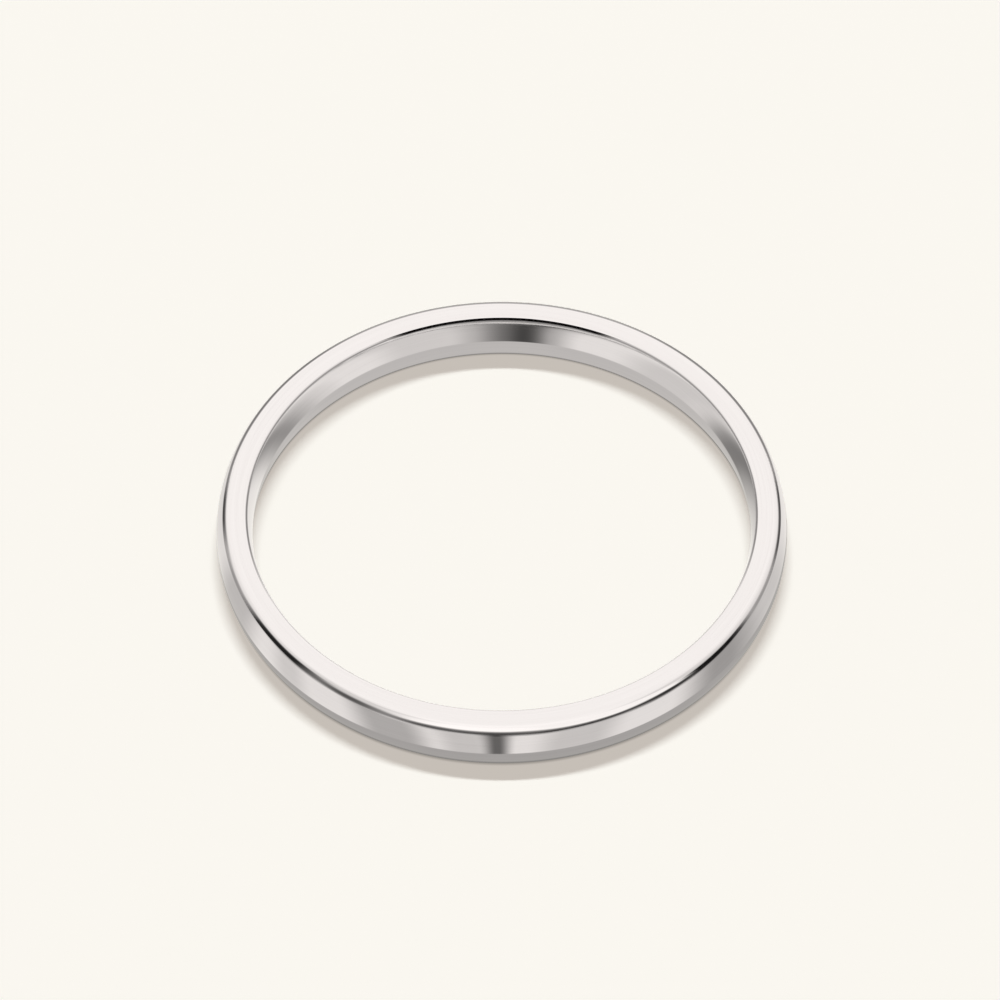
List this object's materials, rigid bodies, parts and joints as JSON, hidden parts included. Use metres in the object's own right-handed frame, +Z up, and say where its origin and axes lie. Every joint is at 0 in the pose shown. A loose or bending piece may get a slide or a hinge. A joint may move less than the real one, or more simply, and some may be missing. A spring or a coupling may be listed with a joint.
{
  "type": "wedding band",
  "caption": "Plain polished wedding band: a slim court-profile ring with flat rims, a domed outside and an open finger hole.",
  "frame": {"origin": "centre of the finger hole in the plane of the lower rim, on the surface that the ring lies on", "axes": "+Z up along the ring's axis, +X and +Y in the plane of the lower rim; the ring is the same all the way round"},
  "size_m": [0.0198, 0.0198, 0.0019],
  "materials": {
    "polished_white_gold": "white gold, mirror polished outside and on the rims, finely polished round the inside"
  },
  "bodies": {
    "root": {"band": "polished_white_gold"}
  },
  "joints": []
}
